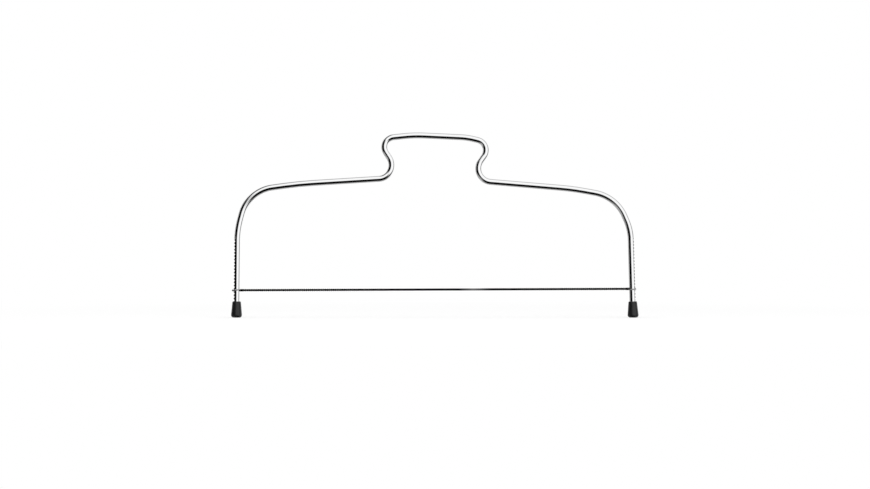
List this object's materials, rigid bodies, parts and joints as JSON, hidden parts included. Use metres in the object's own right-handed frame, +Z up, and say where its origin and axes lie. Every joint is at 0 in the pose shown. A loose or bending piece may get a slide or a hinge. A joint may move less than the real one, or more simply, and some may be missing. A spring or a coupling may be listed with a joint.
{
  "type": "cake leveler",
  "caption": "Bent steel rod arch on rubber feet, with a twisted cutting wire held in leg notches, for slicing cake into level layers.",
  "frame": {"origin": "on the surface that the feet stand on, midway between the legs and in the plane of the frame", "axes": "+Z up along the legs, X across from the left foot to the right foot, the front faces -Y"},
  "size_m": [0.3298, 0.0088, 0.1501],
  "materials": {
    "chromed_rod": "bright chrome plating on a drawn rod",
    "foot_rubber": "satin moulded black rubber",
    "wire_steel": "fine drawn steel strands, dark"
  },
  "bodies": {
    "frame": {"frame_rod": "chromed_rod", "left_foot": "foot_rubber", "right_foot": "foot_rubber"},
    "wire": {"cutting_wire": "wire_steel", "left_wire_loop": "wire_steel", "right_wire_loop": "wire_steel"}
  },
  "joints": [
    {"name": "wire_height", "type": "slide", "parent": "frame", "child": "wire", "axis": [-0.0087, 0, 1], "range_m": [-0.00792, 0.0396]}
  ]
}
